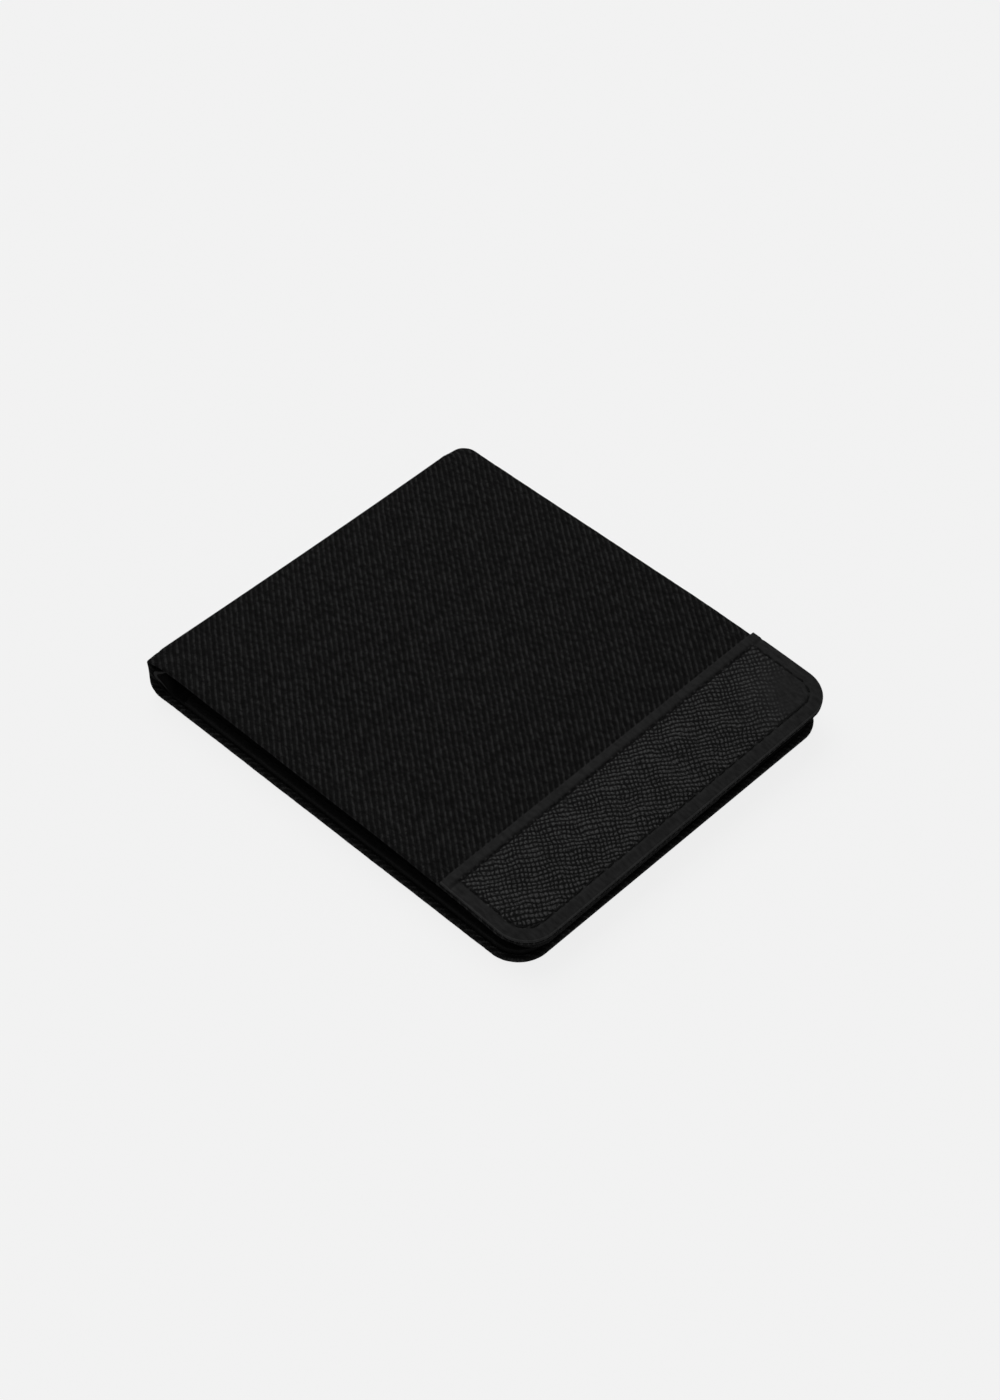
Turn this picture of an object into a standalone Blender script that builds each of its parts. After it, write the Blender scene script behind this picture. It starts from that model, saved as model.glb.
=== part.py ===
"""A closed bifold wallet, built as its separate pieces.

The wallet lies shut on its back cover. X runs from the fold (-) to the free edge (+), Y runs along
the fold from the sewn bottom edge (-) to the mouth of the note compartment (+), and Z is up. The
origin is the middle of the underside. Each half is a stack of thin layers, counted from its outer
face inwards: twill cover, stiffener board, lining, note wall, slip panel and card slots. The spine
stands between the halves and folds along two lines, one to each cover.
"""

import math
from dataclasses import dataclass

import bmesh
import bpy
from mathutils import Matrix, Vector

# Outline of the shut wallet, in metres.
WIDTH = 0.110  # fold to the front cover's free edge
HEIGHT = 0.093  # along the fold
CORNER_R = 0.0075  # covers' corners at the free edge
BACK_SETBACK = 0.0008  # the back cover stops this far short of the front cover's free edge

# Thickness of each layer, and the space left between neighbours.
TWILL_T = 0.0008
BOARD_T = 0.00035
LINING_T = 0.0002
WALL_T = 0.00025
PANEL_T = 0.00025
SLOT_T = 0.00025
LAYER_GAP = 0.00025
MIDDLE_GAP = 0.0005  # between the two halves' innermost layers

# Where the layers end inside the covers.
BOARD_INSET = 0.0045  # board's edge, inside the stitch line
BOARD_FOLD_MARGIN = 0.004  # board's edge from the fold
LINING_INSET = 0.0008
PANEL_INSET = 0.0012  # sewn edges of note wall, slip panel and slots
PANEL_FOLD_MARGIN = 0.0075  # slip panel's edge from the fold
SLOT_FOLD_MARGIN = 0.0105  # card slots' edge from the fold
WALL_DROP = 0.005  # note wall's mouth below the cover's top edge
PANEL_DROP = 0.010  # slip panel's mouth below the cover's top edge
TOP_SLOT_DROP = 0.024  # highest card slot's mouth below the cover's top edge
SLOT_STEP = 0.012  # from one slot's mouth to the next
SLOT_NAMES = ("top", "middle", "bottom")

# End band sewn over the front cover.
BAND_W = 0.0233
BAND_T = 0.0005
BAND_SEAM_IN = 0.0026  # seam from the band's folded edge

# Stitching.
STITCH_INSET = 0.003  # stitch line from the edge
THREAD_R = 0.00012
THREAD_GAP = 0.00008  # thread to the walls of the crease it lies in

# Inner strip of the spine, which carries the note walls round the fold.
BRIDGE_IN = 0.0031  # strip's face from the fold

# Finish of the meshes.
EDGE_R = 0.00015  # softened rims
EDGE_STEPS = 2
ARC_STEPS = 10  # facets in a quarter turn
THREAD_RESOLUTION = 2
CUTTER_OVERRUN = 0.001

FOLD_X = -WIDTH / 2
FREE_X = WIDTH / 2
BOTTOM_Y = -HEIGHT / 2
TOP_Y = HEIGHT / 2

LAYERS_T = (TWILL_T, BOARD_T, LINING_T, WALL_T, PANEL_T) + (SLOT_T,) * len(SLOT_NAMES)
HALF_T = sum(LAYERS_T) + LAYER_GAP * (len(LAYERS_T) - 1)
COVERS_T = 2 * HALF_T + MIDDLE_GAP  # shut, over both covers and without the band
HINGE_IN = TWILL_T / 2  # fold lines run at mid-thickness of the twill

# Colour, roughness and metallic of each kind of material.
FINISHES = {
    "twill": ((0.009, 0.009, 0.009), 0.85, 0.0),
    "board": ((0.10, 0.09, 0.08), 0.90, 0.0),
    "lining": ((0.012, 0.012, 0.013), 0.60, 0.0),
    "leather": ((0.014, 0.014, 0.014), 0.50, 0.0),
    "thread": ((0.006, 0.006, 0.006), 0.55, 0.0),
}


@dataclass(frozen=True)
class Half:
    """One half of the wallet: its outer face, the way its layers stack, and its free edge."""

    name: str
    outer_z: float
    inward: int
    free_x: float
    carrier: bpy.types.Object | None


def clear_scene():
    for thing in list(bpy.data.objects):
        bpy.data.objects.remove(thing, do_unlink=True)


def finish(thing, kind):
    colour, roughness, metallic = FINISHES[kind]
    material = bpy.data.materials.new(f"{thing.name}_{kind}")
    material.use_nodes = True
    shader = material.node_tree.nodes["Principled BSDF"]
    shader.inputs["Base Color"].default_value = (*colour, 1.0)
    shader.inputs["Roughness"].default_value = roughness
    shader.inputs["Metallic"].default_value = metallic
    thing.data.materials.append(material)
    return thing


def link(name, data):
    thing = bpy.data.objects.new(name, data)
    bpy.context.scene.collection.objects.link(thing)
    return thing


def fold_line(name, z, parent=None):
    """An empty on a fold line, which the pieces beyond that fold hang from."""
    empty = link(name, None)
    place = Vector((FOLD_X + HINGE_IN, 0.0, z))
    empty.parent = parent
    empty.location = place - (parent.location if parent else Vector())
    empty["world"] = place
    return empty


def carry(thing, carrier):
    """Hangs a piece made in place from its carrier, with the piece's origin on the carrier."""
    if carrier:
        place = Vector(carrier["world"])
        thing.data.transform(Matrix.Translation(-place))
        thing.parent = carrier
    return thing


def u_line(x0, x1, y0, y1, radius):
    """A line from (x0, y0) to x1, round two corners and back to (x0, y1)."""
    points = [(x0, y0)]
    for centre_y, start in ((y0 + radius, -90), (y1 - radius, 0)):
        for step in range(ARC_STEPS + 1):
            angle = math.radians(start + 90 * step / ARC_STEPS)
            points.append((x1 - radius + radius * math.cos(angle), centre_y + radius * math.sin(angle)))
    points.append((x0, y1))
    return points


def rectangle(x0, x1, y0, y1):
    return [(x0, y0), (x1, y0), (x1, y1), (x0, y1)]


def prism(name, outline, low, high, along="Z"):
    """A closed outline drawn out from low to high: along Z from (x, y), or along Y from (x, z)."""
    mesh = bpy.data.meshes.new(name)
    shape = bmesh.new()
    if along == "Z":
        corners = [shape.verts.new((x, y, low)) for x, y in outline]
        travel = Vector((0.0, 0.0, high - low))
    else:
        corners = [shape.verts.new((x, low, z)) for x, z in outline]
        travel = Vector((0.0, high - low, 0.0))
    base = shape.faces.new(corners)
    drawn = bmesh.ops.extrude_face_region(shape, geom=[base])["geom"]
    moved = [item for item in drawn if isinstance(item, bmesh.types.BMVert)]
    bmesh.ops.translate(shape, verts=moved, vec=travel)
    bmesh.ops.recalc_face_normals(shape, faces=shape.faces)
    shape.to_mesh(mesh)
    shape.free()
    return link(name, mesh)


def soften(thing):
    """Rounds the rims, and leaves the facets of the corners' arcs as they are."""
    bevel = thing.modifiers.new("soft_rims", "BEVEL")
    bevel.width = EDGE_R
    bevel.segments = EDGE_STEPS
    bevel.limit_method = "ANGLE"
    bevel.angle_limit = math.radians(60)
    return thing


def cut(thing, cutter):
    cutter.hide_render = True
    cutter.display_type = "WIRE"
    if thing.parent:
        carry(cutter, thing.parent)
    groove = thing.modifiers.new("crease", "BOOLEAN")
    groove.operation = "DIFFERENCE"
    groove.solver = "EXACT"
    groove.object = cutter


def depth_of(layer):
    """How far below the cover's outer face a layer begins, counted from the twill as 0."""
    return sum(LAYERS_T[:layer]) + LAYER_GAP * layer


def span(half, layer):
    """The lowest and highest z of a half's layer."""
    near = half.outer_z + half.inward * depth_of(layer)
    far = near + half.inward * LAYERS_T[layer]
    return min(near, far), max(near, far)


def crease_size():
    """Width and depth of the crease that a thread lies in."""
    side = 2 * (THREAD_R + THREAD_GAP)
    return side, side


def thread_z(face_z, outward):
    """Height of a thread's middle, sunk in its crease so that it stays under the face."""
    return face_z - outward * crease_size()[1] / 2


def thread(name, points, z, carrier):
    """A closed round thread along a line of (x, y) points at one height."""
    curve = bpy.data.curves.new(name, "CURVE")
    curve.dimensions = "3D"
    curve.bevel_depth = THREAD_R
    curve.bevel_resolution = THREAD_RESOLUTION
    curve.use_fill_caps = True
    spline = curve.splines.new("POLY")
    spline.points.add(len(points) - 1)
    for point, (x, y) in zip(spline.points, points):
        point.co = (x, y, z, 1.0)
    return finish(carry(link(name, curve), carrier), "thread")


def crease(thing, outline, face_z, outward):
    """Presses a crease of that outline into a face."""
    floor_z = face_z - outward * crease_size()[1]
    past_z = face_z + outward * CUTTER_OVERRUN
    name = f"{thing.name}_crease"
    cut(thing, prism(name, outline, min(floor_z, past_z), max(floor_z, past_z)))


def u_strip(x0, x1, y0, y1, radius, width):
    """The outline of a strip of that width along the middle of a U line."""
    side = width / 2
    outer = u_line(x0 - side, x1 + side, y0 - side, y1 + side, radius + side)
    inner = u_line(x0 - side, x1 - side, y0 + side, y1 - side, radius - side)
    return outer + inner[::-1]


def cover_start():
    """The covers' edge at the fold, clear of the spine's rolled edge."""
    return FOLD_X + TWILL_T + LAYER_GAP


def cover(half):
    low, high = span(half, 0)
    outline = u_line(cover_start(), half.free_x, BOTTOM_Y, TOP_Y, CORNER_R)
    return finish(soften(carry(prism(f"{half.name}_cover_twill", outline, low, high), half.carrier)), "twill")


def stiffener(half):
    low, high = span(half, 1)
    outline = rectangle(
        FOLD_X + BOARD_FOLD_MARGIN, half.free_x - BOARD_INSET, BOTTOM_Y + BOARD_INSET, TOP_Y - BOARD_INSET
    )
    return finish(carry(prism(f"{half.name}_stiffener_board", outline, low, high), half.carrier), "board")


def inner_outline(half, start_x, inset, drop):
    """A layer sewn in along the bottom and the free edge, with its mouth this far below the top edge."""
    outline = u_line(start_x, half.free_x - inset, BOTTOM_Y + inset, TOP_Y - drop, CORNER_R - inset)
    if drop <= inset:
        return outline
    square_top = [(half.free_x - inset, TOP_Y - drop), (start_x, TOP_Y - drop)]
    return outline[: ARC_STEPS + 2] + square_top


def cover_lining(half):
    low, high = span(half, 2)
    start_x = FOLD_X + TWILL_T + LINING_T + 2 * LAYER_GAP
    outline = inner_outline(half, start_x, LINING_INSET, LINING_INSET)
    return finish(carry(prism(f"{half.name}_cover_lining", outline, low, high), half.carrier), "lining")


def note_wall(half):
    low, high = span(half, 3)
    start_x = FOLD_X + BRIDGE_IN + WALL_T + LAYER_GAP
    outline = inner_outline(half, start_x, PANEL_INSET, WALL_DROP)
    return finish(carry(prism(f"{half.name}_note_wall", outline, low, high), half.carrier), "lining")


def slip_panel(half):
    low, high = span(half, 4)
    outline = inner_outline(half, FOLD_X + PANEL_FOLD_MARGIN, PANEL_INSET, PANEL_DROP)
    return finish(carry(prism(f"{half.name}_slip_panel", outline, low, high), half.carrier), "leather")


def card_slots(half):
    for number, place in enumerate(SLOT_NAMES):
        low, high = span(half, 5 + number)
        drop = TOP_SLOT_DROP + number * SLOT_STEP
        outline = inner_outline(half, FOLD_X + SLOT_FOLD_MARGIN, PANEL_INSET, drop)
        slot = prism(f"{half.name}_card_slot_{place}", outline, low, high)
        finish(carry(slot, half.carrier), "leather")


def band_edge():
    """The band's folded edge."""
    return FREE_X - BAND_W


def end_band(half):
    low = half.outer_z + LAYER_GAP
    outline = u_line(band_edge(), half.free_x, BOTTOM_Y, TOP_Y, CORNER_R)
    band = prism(f"{half.name}_end_band", outline, low, low + BAND_T)
    return finish(soften(carry(band, half.carrier)), "leather")


def sew_back(half, twill):
    """One thread round the back cover: bottom edge, free edge and top edge."""
    start_x = cover_start() + STITCH_INSET
    end_x = half.free_x - STITCH_INSET
    low_y, high_y = BOTTOM_Y + STITCH_INSET, TOP_Y - STITCH_INSET
    radius = CORNER_R - STITCH_INSET
    crease(twill, u_strip(start_x, end_x, low_y, high_y, radius, crease_size()[0]), half.outer_z, -1)
    line = u_line(start_x, end_x, low_y, high_y, radius)
    thread(f"{half.name}_edge_thread", line, thread_z(half.outer_z, -1), half.carrier)


def sew_hems(half, twill):
    """The front twill's two hems, from the fold to the band."""
    side = crease_size()[0] / 2
    start_x = cover_start() + STITCH_INSET
    end_x = band_edge() - STITCH_INSET
    for edge, y in (("bottom", BOTTOM_Y + STITCH_INSET), ("top", TOP_Y - STITCH_INSET)):
        crease(twill, rectangle(start_x - side, end_x + side, y - side, y + side), half.outer_z, 1)
        line = [(start_x, y), (end_x, y)]
        thread(f"{half.name}_{edge}_hem_thread", line, thread_z(half.outer_z, 1), half.carrier)


def sew_band(half, band):
    """The band's edge thread round three sides, and its seam along the folded edge between them."""
    face_z = half.outer_z + LAYER_GAP + BAND_T
    side = crease_size()[0]
    seam_x = band_edge() + BAND_SEAM_IN
    start_x = seam_x + STITCH_INSET
    end_x = half.free_x - STITCH_INSET
    low_y, high_y = BOTTOM_Y + STITCH_INSET, TOP_Y - STITCH_INSET
    radius = CORNER_R - STITCH_INSET
    crease(band, u_strip(start_x, end_x, low_y, high_y, radius, side), face_z, 1)
    line = u_line(start_x, end_x, low_y, high_y, radius)
    thread(f"{half.name}_band_edge_thread", line, thread_z(face_z, 1), half.carrier)
    groove = rectangle(seam_x - side / 2, seam_x + side / 2, low_y - side / 2, high_y + side / 2)
    crease(band, groove, face_z, 1)
    line = [(seam_x, low_y), (seam_x, high_y)]
    thread(f"{half.name}_band_seam_thread", line, thread_z(face_z, 1), half.carrier)


def spine_twill(carrier):
    """The spine's shell: a strip with an edge rolled round each fold line."""
    middle_x = FOLD_X + HINGE_IN
    outline = []
    for centre_z, start in ((HINGE_IN, 180), (COVERS_T - HINGE_IN, 0)):
        for step in range(2 * ARC_STEPS + 1):
            angle = math.radians(start + 180 * step / (2 * ARC_STEPS))
            outline.append((middle_x + HINGE_IN * math.cos(angle), centre_z + HINGE_IN * math.sin(angle)))
    return finish(carry(prism("spine_twill", outline, BOTTOM_Y, TOP_Y, along="Y"), carrier), "twill")


def spine_lining(carrier):
    start_x = FOLD_X + TWILL_T + LAYER_GAP
    clear_z = TWILL_T + LAYER_GAP
    outline = rectangle(start_x, start_x + LINING_T, clear_z, COVERS_T - clear_z)
    strip = prism("spine_lining", outline, BOTTOM_Y + LINING_INSET, TOP_Y - LINING_INSET, along="Y")
    return finish(carry(strip, carrier), "lining")


def spine_bridge(carrier):
    """The strip that joins the two note walls round the inside of the fold."""
    start_x = FOLD_X + BRIDGE_IN
    clear_z = depth_of(3)
    outline = rectangle(start_x, start_x + WALL_T, clear_z, COVERS_T - clear_z)
    strip = prism("spine_bridge", outline, BOTTOM_Y + PANEL_INSET, TOP_Y - WALL_DROP, along="Y")
    return finish(carry(strip, carrier), "leather")


def layers(half):
    """Everything that both halves hold, from the outside in. Returns the twill cover."""
    twill = cover(half)
    stiffener(half)
    cover_lining(half)
    note_wall(half)
    slip_panel(half)
    card_slots(half)
    return twill


def build():
    clear_scene()
    spine_axis = fold_line("spine_fold_line", HINGE_IN)
    cover_axis = fold_line("cover_fold_line", COVERS_T - HINGE_IN, spine_axis)
    spine_twill(spine_axis)
    spine_lining(spine_axis)
    spine_bridge(spine_axis)
    back = Half("back", 0.0, 1, FREE_X - BACK_SETBACK, None)
    sew_back(back, layers(back))
    front = Half("front", COVERS_T, -1, FREE_X, cover_axis)
    sew_hems(front, layers(front))
    sew_band(front, end_band(front))


build()
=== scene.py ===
"""Looks of a bifold wallet: black twill outside, a grained leather end band and leather pockets inside.

Every sewn layer is a thin closed slab, worked out from two things: a run, which says where the
outer face goes from the fold to the free edge, and how deep under that face the layer lies. The
layers are pinched together where they are sewn and stand apart where they are open.
"""

import logging
import math
from collections.abc import Callable
from dataclasses import dataclass, field, replace
from enum import Enum

import bpy
import numpy as np
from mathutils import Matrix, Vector


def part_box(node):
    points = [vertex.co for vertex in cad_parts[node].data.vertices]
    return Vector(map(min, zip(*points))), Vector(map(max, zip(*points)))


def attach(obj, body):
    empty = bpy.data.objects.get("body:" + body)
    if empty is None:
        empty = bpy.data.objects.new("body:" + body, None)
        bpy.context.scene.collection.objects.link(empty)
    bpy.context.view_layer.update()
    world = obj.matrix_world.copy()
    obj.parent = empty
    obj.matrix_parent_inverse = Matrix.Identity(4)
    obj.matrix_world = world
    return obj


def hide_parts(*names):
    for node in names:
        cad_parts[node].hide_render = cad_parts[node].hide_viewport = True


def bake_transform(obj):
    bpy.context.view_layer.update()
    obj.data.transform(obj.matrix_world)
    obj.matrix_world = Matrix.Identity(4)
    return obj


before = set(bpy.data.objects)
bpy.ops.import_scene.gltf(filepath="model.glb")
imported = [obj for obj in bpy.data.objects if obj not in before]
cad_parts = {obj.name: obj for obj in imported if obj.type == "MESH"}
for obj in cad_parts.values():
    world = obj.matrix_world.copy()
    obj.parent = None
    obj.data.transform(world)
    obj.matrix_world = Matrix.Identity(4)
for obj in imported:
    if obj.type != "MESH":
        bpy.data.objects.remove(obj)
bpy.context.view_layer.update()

Array = np.ndarray
MM = 0.001
LOG = logging.getLogger("wallet")


class Side(Enum):
    """The two halves of the wallet. Each value is the name of the half's body."""

    BACK = "back"
    FRONT = "front"


# ---------------------------------------------------------------------------------------------
# Shader graphs
# ---------------------------------------------------------------------------------------------


class Term:
    """A number that varies over a surface: a node's output with Python's operators."""

    def __init__(self, graph: "Graph", socket: bpy.types.NodeSocket) -> None:
        """Wraps a socket of a graph."""
        self.graph = graph
        self.socket = socket

    def math(self, operation: str, *others: "Term | float") -> "Term":
        """Adds a Math node on this term.

        Args:
            operation: The Math node's operation.
            others: Its further inputs, in order.

        Returns:
            The node's result.
        """
        values = dict(enumerate((self, *others)))
        return self.graph.term("ShaderNodeMath", {"operation": operation}, values)

    def __add__(self, other: "Term | float") -> "Term":
        """This term plus another."""
        return self.math("ADD", other)

    __radd__ = __add__

    def __mul__(self, other: "Term | float") -> "Term":
        """This term times another."""
        return self.math("MULTIPLY", other)

    __rmul__ = __mul__

    def __neg__(self) -> "Term":
        """This term with its sign turned."""
        return self.math("MULTIPLY", -1.0)

    def __sub__(self, other: "Term | float") -> "Term":
        """This term less another."""
        return self.math("SUBTRACT", other)

    def __rsub__(self, other: float) -> "Term":
        """A number less this term."""
        return -self + other

    def __truediv__(self, other: "Term | float") -> "Term":
        """This term divided by another."""
        return self.math("DIVIDE", other)

    def __pow__(self, power: float) -> "Term":
        """This term raised to a power."""
        return self.math("POWER", power)

    def floor(self) -> "Term":
        """The whole number below."""
        return self.math("FLOOR")

    def sine(self) -> "Term":
        """The sine, in radians."""
        return self.math("SINE")

    def size(self) -> "Term":
        """The value without its sign."""
        return self.math("ABSOLUTE")

    def most(self, other: "Term | float") -> "Term":
        """The greater of two."""
        return self.math("MAXIMUM", other)

    def ease(self, low: float, high: float) -> "Term":
        """0 at low and 1 at high, with a smooth passage between them."""
        settings = {"interpolation_type": "SMOOTHSTEP"}
        values = {"Value": self, "From Min": low, "From Max": high}
        return self.graph.term("ShaderNodeMapRange", settings, values)


class Graph:
    """A material's nodes, ending in one Principled shader."""

    def __init__(self, name: str) -> None:
        """Starts an empty material of that name."""
        self.material = bpy.data.materials.new(name)
        self.material.use_nodes = True
        self.tree = self.material.node_tree
        self.tree.nodes.clear()
        self.shader = self.node("ShaderNodeBsdfPrincipled", {}, {})
        output = self.node("ShaderNodeOutputMaterial", {}, {})
        self.tree.links.new(self.shader.outputs[0], output.inputs["Surface"])

    def node(self, kind: str, settings: dict, values: dict) -> bpy.types.Node:
        """Adds any node.

        Args:
            kind: The node's type.
            settings: Its properties, which are set first.
            values: Numbers, tuples, terms or sockets for its inputs, by name or number.

        Returns:
            The node.
        """
        node = self.tree.nodes.new(kind)
        for key, value in settings.items():
            setattr(node, key, value)
        for key, value in values.items():
            if isinstance(value, Term):
                value = value.socket
            if isinstance(value, bpy.types.NodeSocket):
                self.tree.links.new(value, node.inputs[key])
            else:
                node.inputs[key].default_value = value
        return node

    def term(self, kind: str, settings: dict, values: dict, output: int | str = 0) -> Term:
        """Adds any node and gives one of its outputs as a term."""
        return Term(self, self.node(kind, settings, values).outputs[output])

    def place(self) -> bpy.types.NodeSocket:
        """The piece's own flat coordinates, in metres."""
        return self.node("ShaderNodeUVMap", {"uv_map": "flat"}, {}).outputs["UV"]

    def along(self) -> tuple[Term, Term]:
        """The two flat coordinates, in millimetres, as terms."""
        parts = self.node("ShaderNodeSeparateXYZ", {}, {"Vector": self.place()})
        return Term(self, parts.outputs[0]) / MM, Term(self, parts.outputs[1]) / MM

    def measure(self, name: str) -> Term:
        """A number that the mesh carries at its points."""
        return self.term("ShaderNodeAttribute", {"attribute_name": name}, {}, "Fac")

    def noise(self, pitch: float, detail: float = 2.0, squeeze: tuple[float, float] = (1.0, 1.0)) -> Term:
        """Noise over the flat coordinates.

        Args:
            pitch: Size of its blotches, in metres.
            detail: The Noise node's detail.
            squeeze: Scale of each flat coordinate, for drawn-out blotches.

        Returns:
            Noise around 0.5.
        """
        mapped = self.node("ShaderNodeMapping", {}, {"Vector": self.place(), "Scale": (*squeeze, 1.0)})
        values = {"Vector": mapped.outputs[0], "Scale": 1.0 / pitch, "Detail": detail}
        return self.term("ShaderNodeTexNoise", {}, values)

    def blend(self, share: Term, low: tuple, high: tuple) -> bpy.types.NodeSocket:
        """A colour that goes from low to high as share goes from 0 to 1."""
        values = {"Factor": share, 6: (*low, 1.0), 7: (*high, 1.0)}
        return self.node("ShaderNodeMix", {"data_type": "RGBA"}, values).outputs[2]

    def relief(self, height: Term, depth: float, strength: float = 1.0) -> bpy.types.NodeSocket:
        """Normals of a height from 0 to 1 that stands for that depth in metres."""
        values = {"Height": height, "Distance": depth, "Strength": strength}
        return self.node("ShaderNodeBump", {}, values).outputs["Normal"]

    def dress(self, **inputs: object) -> bpy.types.Material:
        """Sets the shader's inputs, named with _ for a space, and gives the material."""
        for name, value in inputs.items():
            socket = self.shader.inputs[name.replace("_", " ")]
            if isinstance(value, Term):
                value = value.socket
            if isinstance(value, bpy.types.NodeSocket):
                self.tree.links.new(value, socket)
            else:
                socket.default_value = value
        return self.material


# ---------------------------------------------------------------------------------------------
# Finishes
# ---------------------------------------------------------------------------------------------


@dataclass(frozen=True)
class TwillCloth:
    """Two-over-two twill. The yarns run along the wallet's edges and the ribs fall towards the free edge."""

    warp_pitch: float = 0.487
    weft_pitch: float = 0.375
    # Colours of the valleys and the crowns; the step between them is painted shade and painted light of the
    # weave.
    valley: float = 0.0035
    crown: float = 0.036
    relief: float = 0.22 * MM

    def material(self) -> bpy.types.Material:
        """The cloth's material.

        With u and v counted in yarns across and along, the ribs are the ridges of
        sin(pi (u + v) / 2), raised to a soft crown. Each rib is made of warp floats: warp i is on
        top where sin(pi (i + v) / 2) is over 0, and is round across as |sin(pi u)|. Between the
        ribs the weft shows, lower, as |sin(pi v)|. The colour follows this height, with painted
        light on the crowns and painted shade in the valleys and pits, over the yarn's own slubs,
        patches and lint.

        Returns:
            The material.
        """
        graph = Graph("black_twill")
        across, along = graph.along()
        sway = (graph.noise(7 * MM, 3.0) - 0.5) * 1.3
        warp = across / self.warp_pitch + sway + (graph.noise(1.5 * MM, 3.0) - 0.5) * 1.1
        weft = along / self.weft_pitch + (graph.noise(1.9 * MM, 3.0) - 0.5) * 1.0
        rib = ((warp + weft) * (math.pi / 2)).sine() * 0.5 + 0.5
        warp_crown = (warp * math.pi).sine().size()
        weft_crown = (weft * math.pi).sine().size()
        warp_float = ((warp.floor() + weft) * (math.pi / 2)).sine().most(0.0)
        slub = graph.noise(1.1 * MM, 3.0, (0.6, 1.0)).ease(0.33, 0.68)
        ribs = rib.ease(0.12, 0.92) * (0.62 + 0.38 * warp_crown) * (0.7 + 0.3 * warp_float)
        height = ribs.most((1 - rib) * weft_crown * 0.34)
        patchy = graph.noise(5 * MM, 3.0).ease(0.25, 0.7)
        # Painted shade: dark spots for the holes between the yarns.
        pit_shade = graph.noise(0.55 * MM, 2.0, (1.0, 0.7)).ease(0.52, 0.68)
        lint = graph.noise(0.3 * MM, 1.0).ease(0.70, 0.80)
        rim = graph.measure("from_edge").ease(0.0, 0.6) * 0.4 + 0.6
        # Painted light and shade: the colour follows the height, paler on the crowns and darker in the valleys
        # and pits; slubs, patches and lint are the yarn's own tone.
        shade = rim * height * (0.3 + 1.1 * slub) * (0.7 + 0.4 * patchy) * (1 - 0.6 * pit_shade) + lint * 0.2
        return graph.dress(
            Base_Color=graph.blend(shade, (self.valley,) * 3, (self.crown,) * 3),
            Roughness=0.92 - height * 0.14,
            Specular_IOR_Level=0.05,
            Normal=graph.relief(height * (0.6 + 0.8 * slub), self.relief),
        )


@dataclass(frozen=True)
class CrosshatchLeather:
    """Leather pressed with two sets of fine slanting lines, smooth along its edges and where it is worn."""

    first_angle: float = 58.0
    second_angle: float = 147.0
    first_pitch: float = 1.06
    second_pitch: float = 0.895
    dark: float = 0.0008
    pale: float = 0.06
    relief: float = 0.2 * MM

    def line(self, across: Term, along: Term, angle: float, pitch: float, stray: Term) -> Term:
        """One set of pressed lines: 0 in a line and 1 between two of them."""
        turn = math.radians(angle + 90.0)
        reach = across * math.cos(turn) + along * math.sin(turn)
        return ((reach / pitch + stray) * math.pi).sine().size()

    def material(self) -> bpy.types.Material:
        """The leather's material.

        Each set of lines is |sin|, bent by a slow noise. Their product, raised to a power, leaves
        small slanting pillows, and where the second set fades they join into long dashes. The
        pillows vary from patch to patch and one by one, and their tops are painted paler as painted
        glints. Outside the stitches, and where the leather is worn, fine wrinkles take their place,
        with painted shade in a broken groove beside the stitches and a painted highlight in a thin
        line along the edge. Pores lie over everything.

        Returns:
            The material.
        """
        graph = Graph("crosshatch_leather")
        across, along = graph.along()
        stray = (graph.noise(5.0 * MM, 5.0) - 0.5) * 2.3
        other_stray = (graph.noise(4.0 * MM, 5.0) - 0.5) * 2.0
        first = self.line(across, along, self.first_angle, self.first_pitch, stray)
        second = self.line(across, along, self.second_angle, self.second_pitch, other_stray)
        long_dashes = graph.noise(4.5 * MM, 2.0).ease(0.4, 0.62) * 0.45
        pillows = (first * (second + long_dashes - second * long_dashes)) ** 1.8
        from_edge = graph.measure("from_edge")
        grained = from_edge.ease(2.4, 3.4) * (1 - graph.measure("worn"))
        patchy = graph.noise(3.4 * MM, 3.0).ease(0.3, 0.66) * 0.35 + 0.6
        # Painted glints: how bright each pillow's top is painted, one by one.
        glints = graph.noise(0.45 * MM, 1.0).ease(0.38, 0.62) * 1.5 + 0.45
        pores = graph.noise(0.25 * MM, 3.0)
        wrinkles = graph.noise(1.3 * MM, 4.0, (0.7, 1.6))
        height = pillows * patchy * grained + (1 - grained) * (0.35 + 0.3 * wrinkles) + pores * 0.16
        clouds = graph.noise(11 * MM) - 0.5
        # Painted highlight: a thin pale line just inside the band's edge.
        edge_highlight = from_edge.ease(0.0, 0.08) * (1 - from_edge.ease(0.14, 0.3))
        # Painted shade: a broken dark line in the dent along the stitches.
        gaps = graph.noise(1.6 * MM, 1.0).ease(0.4, 0.6) * 0.6 + 0.25
        groove_shade = from_edge.ease(2.5, 2.9) * (1 - from_edge.ease(3.1, 3.5)) * gaps
        # Painted highlights: the pillows' tops are made paler, more so where the glint noise is high; outside
        # the grain the wrinkles give the leather's own tone.
        shade = pillows * patchy * glints * grained * 1.35 + (1 - grained) * (wrinkles * 0.55 + 0.02)
        return graph.dress(
            Base_Color=graph.blend(
                shade * (1 + clouds * 0.5) * (1 - groove_shade) + edge_highlight * 0.4,
                (self.dark,) * 3,
                (self.pale,) * 3,
            ),
            Roughness=0.52 - pillows * grained * 0.16 + pores * 0.10,
            Specular_IOR_Level=0.06,
            Normal=graph.relief(height, self.relief),
        )


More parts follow.
